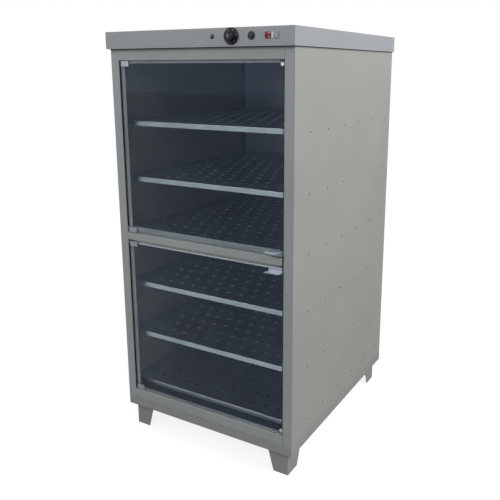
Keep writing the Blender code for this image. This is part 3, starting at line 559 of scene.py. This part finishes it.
punches = []
row = 0
y = low.y + shelf["firstRow"]
while y < high.y - shelf["edge"]:
    x = shelf["pitchX"] / 2 * (row % 2)
    columns = []
    while x < high.x - shelf["edge"]:
        columns += [x] if x == 0 else [x, -x]
        x += shelf["pitchX"]
    for x in columns:
        bpy.ops.object.select_all(action="DESELECT")
        bpy.ops.mesh.primitive_cylinder_add(
            vertices=shelf["holeSides"], radius=shelf["holeRadius"], depth=shelf["punchDepth"],
            location=(x, y, shelfTop))
        punches.append(bpy.context.active_object)
    row += 1
    y += shelf["pitchY"]
punch = joined("shelf_punch", punches)
settle(punch)
combine(sheetPiece, punch)
smooth(sheetPiece, 35)
wear(sheetPiece, shelfSheet, "shelf_steel", "shelf_slide_1", "shelf_1")
for number in range(2, shelfCount + 1):
    copy = named(copyOf(sheetPiece), "shelf_%d_finish" % number)
    copy.parent = None
    editAll(copy)
    bpy.ops.transform.translate(value=(0, 0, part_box("shelf_%d" % number)[1].z - high.z))
    leaveEdit()
    wear(copy, shelfSheet, "shelf_steel", "shelf_slide_%d" % number, "shelf_%d" % number)
for number in range(1, shelfCount + 1):
    for side in ("left", "right"):
        dress("rail_%s_%d" % (side, number), railZinc, "rail_steel", "cabinet")
print("shelves done, holes punched:", len(punches))

# Blind rivets that hold the shelf rails to the sides: a low head round a dark bore
rivet = {"headRadius": 0.0032, "rise": 0.0010, "lift": 0.00002, "boreReach": 0.00021,
         "profile": ((1.0, 0.25), (0.86, 0.7), (0.62, 1.0), (0.40, 1.0), (0.36, 0.2)),
         "firstY": 0.120, "pitchY": 0.1505, "perRow": 6, "belowShelf": 0.014, "sides": 16}


def rivetAt(x, y, z, outward):
    bpy.ops.object.select_all(action="DESELECT")
    bpy.ops.mesh.primitive_circle_add(vertices=rivet["sides"], radius=rivet["headRadius"],
                                      fill_type="NGON", location=(x, y, z),
                                      rotation=(0, pi / 2 * outward, 0))
    piece = bpy.context.active_object
    settle(piece)
    editAll(piece)
    radius, reach = rivet["headRadius"], 0
    for share, rise in rivet["profile"]:
        bpy.ops.mesh.extrude_region_move(
            TRANSFORM_OT_translate={"value": ((rise - reach) * rivet["rise"] * outward, 0, 0)})
        size = share * rivet["headRadius"] / radius
        bpy.ops.transform.resize(value=(1, size, size),
                                 center_override=(x + rise * rivet["rise"] * outward, y, z))
        radius, reach = share * rivet["headRadius"], rise
    leaveEdit()
    return piece


for side, outward in (("right", 1), ("left", -1)):
    heads = []
    first = rivetAt(outward * (sideX + rivet["lift"]), 0, 0, outward)
    fixedNormals(first)
    for number in range(1, shelfCount + 1):
        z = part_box("shelf_%d" % number)[1].z - shelf["tail"] - rivet["belowShelf"]
        for n in range(rivet["perRow"]):
            head = copyOf(first)
            head.location = (0, frontY + rivet["firstY"] + n * rivet["pitchY"], z)
            heads.append(head)
    bpy.data.objects.remove(first)
    rivets = joined("shelf_rail_rivets_" + side, heads)
    settle(rivets)
    smooth(rivets, 50)
    rivets.data.materials.append(rivetMetal)
    faceMaterial(rivets, boreBlack, lambda centre, normal:
                 abs(centre.x) < sideX + rivet["boreReach"] + rivet["lift"]
                 and abs(normal.x) > 0.9)
    wear(rivets, rivetMetal, "rail_steel", "cabinet")
print("rivets done")

# Doors: frameless panes with plated clamps, handles and dished strike discs
fitting = {"clampSoft": 0.0005, "clampAngle": 25, "handleSoft": 0.0004}
strike = {"peen": 0.0045, "back": 0.0060, "seat": 0.0003, "stem": 0.0028, "arris": 0.0006,
          "rim": 0.0030, "dish": 0.0034, "dishDepth": 0.0002, "sides": 48}
for door in ("upper", "lower"):
    body = door + "_door"
    recolour(door + "_door_glass", bluedGlass)
    for place in ("top", "bottom"):
        dress(door + "_hinge_clamp_" + place, satinChrome, "bright_metal", body,
              fitting["clampSoft"], 2, fitting["clampAngle"])
        recolour(door + "_hinge_bush_" + place, blackResin)
    dress(door + "_door_handle", satinChrome, "bright_metal", body, fitting["handleSoft"])
    name = door + "_strike_disc"
    low, high, x, z = placeOf(name)
    edge = (high.x - low.x) / 2
    glassLow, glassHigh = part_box(door + "_door_glass")
    behind, before = glassHigh.y + strike["seat"], glassLow.y - strike["seat"]
    disc = turned(name + "_finish", x, z,
                  [(strike["peen"], high.y), (strike["back"], high.y - strike["seat"]),
                   (strike["back"], behind), (strike["stem"], behind),
                   (strike["stem"], before), (edge, before), (edge, low.y + strike["arris"]),
                   (edge - strike["arris"], low.y), (edge - strike["rim"], low.y),
                   (edge - strike["dish"], low.y + strike["dishDepth"])], strike["sides"])
    smooth(disc, 35)
    wear(disc, discChrome, "bright_metal", body, name)
    recolour(door + "_magnet_catch", blackResin)
print("doors done")

# Thermostat knob: a skirt with the scale on its ring, and a fluted hub with a square cap
knob = {"sides": 96, "proud": 0.0004, "offCover": 0.0017, "hubInset": 0.0012, "ringDepth": 0.0052,
        "shaft": 0.003, "edge": 0.0006, "edgeDepth": 0.0005, "skirt": 0.0020, "bevel": 0.0028,
        "ringOuter": 0.0252, "ringArris": 0.0001, "ringFlat": 0.0245, "ringInner": 0.0186,
        "hubFoot": 0.0179, "hubFootRise": 0.0007, "hubHead": 0.0166, "hubHeadDepth": 0.0016,
        "hubShoulder": 0.0160, "hubShoulderDepth": 0.0005, "hubFace": 0.0150,
        "flutes": 20, "fluteSides": 14, "fluteRadius": 0.0013, "fluteLength": 0.0125,
        "fluteRing": 0.0181, "fluteDepth": 0.0052, "capHalf": 0.0062, "capSoft": 0.0006,
        "numerals": ["0", "30", "50", "70", "90", "110"], "numeralSize": 0.0054,
        "numeralRing": 0.0211, "numeralDepth": 0.00004, "numeralSink": 0.00005,
        "ticks": 28, "tickRing": 0.0236, "tickHalf": 0.00022, "longTick": 0.0009,
        "shortTick": 0.0005, "tickSink": 0.00008, "tickRoot": 0.0001, "tickSoft": 0.00003,
        "start": radians(225), "sweep": radians(270)}
low, high, knobX, knobZ = placeOf("thermostat_knob")
knobRadius = (high.x - low.x) / 2 + knob["proud"]
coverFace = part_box("top_cover")[0].y
knobBack = coverFace - knob["offCover"]
hubFront = low.y + knob["hubInset"]
annulus = knobBack - knob["ringDepth"]
knobPiece = turned("thermostat_knob_finish", knobX, knobZ,
                   [(knob["shaft"], high.y), (knob["shaft"], knobBack),
                    (knobRadius - knob["edge"], knobBack),
                    (knobRadius, knobBack - knob["edgeDepth"]),
                    (knobRadius, knobBack - knob["skirt"]),
                    (knobRadius - knob["edge"], knobBack - knob["bevel"]),
                    (knob["ringOuter"], annulus - knob["ringArris"]),
                    (knob["ringFlat"], annulus), (knob["ringInner"], annulus),
                    (knob["hubFoot"], annulus - knob["hubFootRise"]),
                    (knob["hubHead"], hubFront + knob["hubHeadDepth"]),
                    (knob["hubShoulder"], hubFront + knob["hubShoulderDepth"]),
                    (knob["hubFace"], hubFront)], knob["sides"])
flutes = []
for n in range(knob["flutes"]):
    turn = 2 * pi * (n + 0.5) / knob["flutes"]
    bpy.ops.object.select_all(action="DESELECT")
    bpy.ops.mesh.primitive_cylinder_add(
        vertices=knob["fluteSides"], radius=knob["fluteRadius"], depth=knob["fluteLength"],
        rotation=(pi / 2, 0, 0),
        location=(knobX + knob["fluteRing"] * cos(turn), hubFront + knob["fluteDepth"],
                  knobZ + knob["fluteRing"] * sin(turn)))
    flutes.append(bpy.context.active_object)
fluteTool = joined("knob_flutes", flutes)
settle(fluteTool)
combine(knobPiece, fluteTool)
smooth(knobPiece, 35)
wear(knobPiece, blackResin, "black_plastic", "knob", "thermostat_knob")

half = knob["capHalf"]
cap = block((-half, low.y, -half), (half, hubFront + knob["hubShoulderDepth"], half))
named(cap, "knob_cap")
softEdges(cap, knob["capSoft"], 3)
cap.rotation_euler = (0, pi / 4, 0)
cap.location = (knobX, 0, knobZ)
settle(cap)
smooth(cap)
wear(cap, capGrey, "black_plastic", "knob")

# The scale: every third tick is a long one, and the numerals stand inside the ticks
marks = []
for n in range(knob["ticks"]):
    turn = knob["start"] - knob["sweep"] * n / (knob["ticks"] - 1)
    reach = knob["longTick"] if n % 3 == 0 else knob["shortTick"]
    bpy.ops.object.select_all(action="DESELECT")
    tick = block((-knob["tickHalf"], annulus - knob["tickSink"], -reach),
                 (knob["tickHalf"], annulus + knob["tickRoot"], reach))
    softEdges(tick, knob["tickSoft"], 1)
    tick.rotation_euler = (0, pi / 2 - turn, 0)
    tick.location = (knobX + knob["tickRing"] * cos(turn), 0,
                     knobZ + knob["tickRing"] * sin(turn))
    settle(tick)
    marks.append(tick)
for n, numeral in enumerate(knob["numerals"]):
    turn = knob["start"] - knob["sweep"] * n / (len(knob["numerals"]) - 1)
    bpy.ops.object.select_all(action="DESELECT")
    bpy.ops.object.text_add(location=(0, 0, 0))
    figure = bpy.context.active_object
    figure.data.body = numeral
    figure.data.size = knob["numeralSize"]
    figure.data.align_x = "CENTER"
    figure.data.align_y = "CENTER"
    figure.data.extrude = knob["numeralDepth"]
    figure.data.resolution_u = 3
    choose(figure)
    bpy.ops.object.convert(target="MESH")
    figure = bpy.context.active_object
    figure.rotation_euler = (pi / 2, pi / 2 - turn, 0)
    figure.location = (knobX + knob["numeralRing"] * cos(turn), annulus - knob["numeralSink"],
                       knobZ + knob["numeralRing"] * sin(turn))
    settle(figure)
    marks.append(figure)
dial = joined("knob_scale", marks)
settle(dial)
wear(dial, paleInk, "white_plastic", "knob")

# A small dark bar on the cover, left of the knob
mark = {"outer": 0.0345, "inner": 0.0295, "half": 0.0006, "skin": 0.0001, "soft": 0.00004}
darkBar = block((knobX - mark["outer"], coverFace - mark["skin"], knobZ - mark["half"]),
                (knobX - mark["inner"], coverFace + mark["skin"], knobZ + mark["half"]))
named(darkBar, "dark_bar_beside_knob")
softEdges(darkBar, mark["soft"], 1)
settle(darkBar)
wear(darkBar, darkBarLook, "black_plastic", "cabinet")

# Indicator lamp: a dark ring and a domed lens, as radius and distance before the cover
signal = {"sides": 40, "barrel": 0.0050, "tip": ((0.0014, 0.0001), (0.0005, 0)),
          "ring": ((0.0050, 0.0003), (0.0076, 0.0003), (0.0076, 0.0013), (0.0070, 0.0018),
                   (0.0055, 0.0018), (0.0053, 0.0012)),
          "dome": ((0.0050, 0.0010), (0.0050, 0.0022), (0.0047, 0.0034), (0.0040, 0.0043),
                   (0.0028, 0.0049))}
low, high, x, z = placeOf("indicator_lamp")
ring = turned("lamp_bezel", x, z, [(signal["barrel"], high.y)]
              + [(radius, coverFace - reach) for radius, reach in signal["ring"]],
              signal["sides"])
smooth(ring, 35)
wear(ring, lampRing, "red_lens", "cabinet", "indicator_lamp")
lens = turned("lamp_lens", x, z,
              [(radius, coverFace - reach) for radius, reach in signal["dome"]]
              + [(radius, low.y + back) for radius, back in signal["tip"]], signal["sides"])
smooth(lens, 60)
wear(lens, lampLens, "red_lens", "cabinet")

# Push button in its bezel, with a shallow dome given as radius and distance behind its face
button = {"bezelSoft": 0.0003, "sides": 48, "radius": 0.0094,
          "dome": ((0.0094, 0.0010), (0.0088, 0.0005), (0.0070, 0.0002), (0.0040, 0.00004),
                   (0.0012, 0))}
low, high, x, z = placeOf("button_bezel")
bezel = eased("button_bezel", button["bezelSoft"])
smooth(bezel, 45)
wear(bezel, buttonPlastic, "black_plastic", "cabinet", "button_bezel")
low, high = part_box("push_button")
press = turned("push_button_finish", x, z, [(button["radius"], high.y)]
               + [(radius, low.y + back) for radius, back in button["dome"]], button["sides"])
smooth(press, 50)
wear(press, buttonPlastic, "black_plastic", "button", "push_button")

# Switch: a white housing, red round the rocker and lilac grey round the window
switch = {"soft": 0.0006, "besideRocker": 0.0022, "besideWindow": 0.0035, "faceDepth": 0.002,
          "rockerSoft": 0.0008, "highlightFromEnd": 0.0034, "highlightFromMiddle": 0.0012,
          "highlightFromSide": 0.0014, "windowSoft": 0.0004}
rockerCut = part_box("switch_rocker")[1].x + switch["besideRocker"]
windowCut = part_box("switch_window")[0].x - switch["besideWindow"]
housing = eased("switch_housing", switch["soft"], 3)
for cut in (rockerCut, windowCut):
    bisected(housing, (cut, 0, 0), (1, 0, 0))
smooth(housing)
housing.data.materials.append(whitePlastic)
faceMaterial(housing, redLens, lambda centre, normal:
             centre.x < rockerCut and centre.y < coverFace + switch["faceDepth"])
faceMaterial(housing, lilacPlastic, lambda centre, normal:
             centre.x > windowCut and centre.y < coverFace + switch["faceDepth"])
wear(housing, whitePlastic, "white_plastic", "cabinet", "switch_housing")

# The rocker: a red half, a half darkened as painted shade, and a pale painted highlight at each end
# of the darker half
low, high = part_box("switch_rocker")
rockerMiddle = (low.x + high.x) / 2
highlightLeft, highlightRight = rockerMiddle + switch["highlightFromMiddle"], high.x - switch["highlightFromSide"]
highlightLow, highlightHigh = low.z + switch["highlightFromEnd"], high.z - switch["highlightFromEnd"]
rockerPiece = eased("switch_rocker", switch["rockerSoft"], 3, 20)
for x in (rockerMiddle, highlightLeft, highlightRight):
    bisected(rockerPiece, (x, 0, 0), (1, 0, 0))
for z in (highlightLow, highlightHigh):
    bisected(rockerPiece, (0, 0, z), (0, 0, 1))
smooth(rockerPiece, 60)
rockerPiece.data.materials.append(redLens)
faceMaterial(rockerPiece, shadedRedLens, lambda centre, normal:
             centre.x > rockerMiddle and normal.y < -0.5)
faceMaterial(rockerPiece, pinkHighlight, lambda centre, normal:
             highlightLeft < centre.x < highlightRight and normal.y < -0.5
             and not highlightLow < centre.z < highlightHigh)
wear(rockerPiece, redLens, "red_lens", "rocker", "switch_rocker")
dress("switch_window", clearPlastic, "clear_plastic", "cabinet", switch["windowSoft"])
print("controls done")

# Heater: one bent tube from the terminal box round the floor of the cavity and back
low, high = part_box("heating_element")
tube = {"radius": (high.z - low.z) / 2, "bend": 0.030, "bendSteps": 12, "tails": 0.030,
        "inner": 0.100, "stagger": 0.100, "rearGap": 0.0452, "standSoft": 0.0003,
        "boxSoft": 0.002, "thermostatSoft": 0.0008}
outer = high.x - tube["radius"]
tailEnd = high.y
frontRun = low.y + tube["radius"]
rear = tailEnd - tube["rearGap"]
corners = [(tube["tails"], tailEnd), (tube["tails"], rear), (outer, rear), (outer, frontRun),
           (tube["inner"], frontRun), (tube["inner"], rear - tube["stagger"]),
           (-tube["inner"], rear - tube["stagger"]), (-tube["inner"], frontRun),
           (-outer, frontRun), (-outer, rear), (-tube["tails"], rear), (-tube["tails"], tailEnd)]
path = [Vector(corners[0])]
for before, corner, after in zip(corners, corners[1:], corners[2:]):
    corner = Vector(corner)
    inward = (Vector(before) - corner).normalized()
    onward = (Vector(after) - corner).normalized()
    centre = corner + (inward + onward) * tube["bend"]
    for n in range(tube["bendSteps"] + 1):
        turn = pi / 2 * n / tube["bendSteps"]
        path.append(centre - onward * tube["bend"] * cos(turn) - inward * tube["bend"] * sin(turn))
path.append(Vector(corners[-1]))
line = bpy.data.curves.new("heating_element_finish", "CURVE")
line.dimensions = "3D"
line.bevel_depth = tube["radius"]
line.bevel_resolution = 4
line.use_fill_caps = True
run = line.splines.new("POLY")
run.points.add(len(path) - 1)
for point, spot in zip(run.points, path):
    point.co = (spot.x, spot.y, (low.z + high.z) / 2, 1)
heater = bpy.data.objects.new("heating_element_finish", line)
bpy.context.scene.collection.objects.link(heater)
choose(heater)
bpy.ops.object.convert(target="MESH")
heater = bpy.context.active_object
smooth(heater, 60)
wear(heater, heaterSheath, "heater_sheath", "cabinet", "heating_element")
dress("heater_stand", railZinc, "rail_steel", "cabinet", tube["standSoft"])
dress("heater_terminal_box", greyResin, "grey_plastic", "cabinet", tube["boxSoft"], 3)
dress("thermostat_body", greyResin, "grey_plastic", "cabinet", tube["thermostatSoft"])

# Cable gland: lock nut inside, collar, hexagon and dome outside, measured from the cover
inlet = {"seatGap": 0.0003, "bore": 0.0042, "nut": 0.0118, "nutBack": 0.0112, "arris": 0.0006,
         "nutFront": 0.0022, "thread": 0.0078, "threadStart": 0.0020, "collar": 0.0012,
         "dome": ((0.0108, 0.0060), (0.0108, 0.0085), (0.0104, 0.0130), (0.0092, 0.0170)),
         "mouth": 0.0080, "lip": 0.0050, "throat": 0.0044, "throatDepth": 0.004, "sides": 48,
         "hexRadius": 0.0119, "hexDepth": 0.0052, "hexFromSeat": 0.0032, "hexSoft": 0.0005}
low, high, x, z = placeOf("cable_gland")
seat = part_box("top_cover")[1].y + inlet["seatGap"]
gland = turned("cable_gland_finish", x, z,
               [(inlet["bore"], low.y), (inlet["nutBack"], low.y),
                (inlet["nut"], low.y + inlet["arris"]), (inlet["nut"], seat - inlet["nutFront"]),
                (inlet["thread"], seat - inlet["threadStart"]), (inlet["thread"], seat),
                (inlet["nut"], seat), (inlet["nut"], seat + inlet["collar"])]
               + [(radius, seat + reach) for radius, reach in inlet["dome"]]
               + [(inlet["mouth"], high.y), (inlet["lip"], high.y),
                  (inlet["throat"], high.y - inlet["throatDepth"])], inlet["sides"])
bpy.ops.object.select_all(action="DESELECT")
bpy.ops.mesh.primitive_cylinder_add(vertices=6, radius=inlet["hexRadius"],
                                    depth=inlet["hexDepth"], rotation=(pi / 2, 0, 0),
                                    location=(x, seat + inlet["hexFromSeat"], z))
hexagon = bpy.context.active_object
settle(hexagon)
softEdges(hexagon, inlet["hexSoft"])
combine(gland, hexagon, "UNION")
smooth(gland, 35)
wear(gland, blackResin, "black_plastic", "cabinet", "cable_gland")
print("heater and inlet done")

# Cross-head screws of the back panel, with the head's profile as shares of radius and rises
screw = {"radius": 0.0042, "rise": 0.0016, "profile": ((0.98, 0.0005), (0.82, 0.0011)),
         "faceShare": 0.5, "sides": 20, "crossHalf": 0.0022, "crossDepth": 0.0008,
         "crossWidth": 0.00035, "lift": 0.00002, "fromEdge": 0.012, "fromEnd": 0.030,
         "perSide": 6, "across": (-0.2, 0, 0.2)}
first = turned("screw", 0, 0, [(screw["radius"], backFace + screw["lift"])]
               + [(screw["radius"] * share, backFace + screw["lift"] + rise)
                  for share, rise in screw["profile"]]
               + [(screw["radius"] * screw["faceShare"],
                   backFace + screw["lift"] + screw["rise"])], screw["sides"])
for turn in (pi / 4, -pi / 4):
    cut = block((-screw["crossHalf"], -screw["crossDepth"], -screw["crossWidth"]),
                (screw["crossHalf"], screw["crossDepth"], screw["crossWidth"]))
    cut.rotation_euler = (0, turn, 0)
    cut.location = (0, backFace + screw["lift"] + screw["rise"], 0)
    settle(cut)
    combine(first, cut)
heads = []
low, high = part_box("back_panel")
spots = [(side * (high.x - screw["fromEdge"]),
          low.z + screw["fromEnd"]
          + n * (high.z - low.z - 2 * screw["fromEnd"]) / (screw["perSide"] - 1))
         for side in (-1, 1) for n in range(screw["perSide"])]
spots += [(x, z) for x in screw["across"]
          for z in (low.z + screw["fromEdge"], high.z - screw["fromEdge"])]
for x, z in spots:
    head = copyOf(first)
    head.location = (x, 0, z)
    heads.append(head)
bpy.data.objects.remove(first)
screws = joined("back_panel_screws", heads)
settle(screws)
smooth(screws, 40)
wear(screws, screwZinc, "rail_steel", "cabinet")
print("fixings done")

# Floor and backdrop: white to the camera and through the glass, dimmer as a source of light
stage = {"floorSize": 60, "drop": 0.0003, "floor": "#858585", "floorLift": 0.86,
         "skyLight": 0.56}
bpy.ops.object.select_all(action="DESELECT")
bpy.ops.mesh.primitive_plane_add(size=stage["floorSize"], location=(0, 0, -stage["drop"]))
floor = named(bpy.context.active_object, "floor")
settle(floor)
floorLook, tree, shader, place = newMaterial(
    "matt_white_floor", {"Base Color": toLinear(stage["floor"]), "Roughness": 0.9,
                         "Specular IOR Level": 0.1, "Emission Color": (1, 1, 1, 1)})


def seenDirectly(tree):
    rays = addNode(tree, "ShaderNodeLightPath", {})
    either = addNode(tree, "ShaderNodeMath", {"operation": "MAXIMUM"},
                     [(0, rays.outputs["Is Camera Ray"]), (1, rays.outputs["Is Transmission Ray"])])
    return either.outputs["Value"]


lift = addNode(tree, "ShaderNodeMath", {"operation": "MULTIPLY", 1: stage["floorLift"]},
               [(0, seenDirectly(tree))])
tree.links.new(lift.outputs["Value"], shader.inputs["Emission Strength"])
floor.data.materials.append(floorLook)
floor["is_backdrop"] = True

world = bpy.data.worlds.new("studio")
bpy.context.scene.world = world
world.use_nodes = True
tree = world.node_tree
tree.nodes.clear()
lighting = addNode(tree, "ShaderNodeBackground", {"Color": (1, 1, 1, 1),
                                                  "Strength": stage["skyLight"]})
backdrop = addNode(tree, "ShaderNodeBackground", {"Color": (1, 1, 1, 1), "Strength": 1})
both = addNode(tree, "ShaderNodeMixShader", {}, [(0, seenDirectly(tree)), (1, lighting.outputs[0]),
                                                 (2, backdrop.outputs[0])])
addNode(tree, "ShaderNodeOutputWorld", {}, [("Surface", both.outputs[0])])


def areaLight(name, spot, aim, size, power):
    lamp = bpy.data.lights.new(name, "AREA")
    lamp.shape = "SQUARE"
    lamp.size = size
    lamp.energy = power
    holder = bpy.data.objects.new(name, lamp)
    bpy.context.scene.collection.objects.link(holder)
    holder.location = spot
    holder.rotation_euler = (Vector(aim) - Vector(spot)).to_track_quat("-Z", "Y").to_euler()


areaLight("soft_box_right", (3.6, 0.1, 3.4), (0.3, 0, 1.1), 2.2, 135)
areaLight("soft_box_front", (-1.6, -3.3, 3.0), (-0.1, -0.4, 1.4), 1.3, 43)

# The photograph's camera, fitted to the long edges of the cabinet
view = {"sensor": 36, "lens": 44.568, "shiftX": -0.0368, "shiftY": -0.0761,
        "spot": (1.3528, -2.2863, 1.5242), "yaw": -0.5233, "pitch": -0.2282}
lens = bpy.data.cameras.new("camera")
lens.sensor_width = view["sensor"]
lens.lens = view["lens"]
lens.shift_x = view["shiftX"]
lens.shift_y = view["shiftY"]
eye = bpy.data.objects.new("camera", lens)
bpy.context.scene.collection.objects.link(eye)
eye.location = view["spot"]
yaw, pitch = view["yaw"], view["pitch"]
look = Vector((sin(yaw) * cos(pitch), cos(yaw) * cos(pitch), sin(pitch)))
eye.rotation_euler = look.to_track_quat("-Z", "Y").to_euler()
bpy.context.scene.camera = eye
bpy.context.scene.view_settings.view_transform = "Standard"
print("stage done")

low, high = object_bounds()
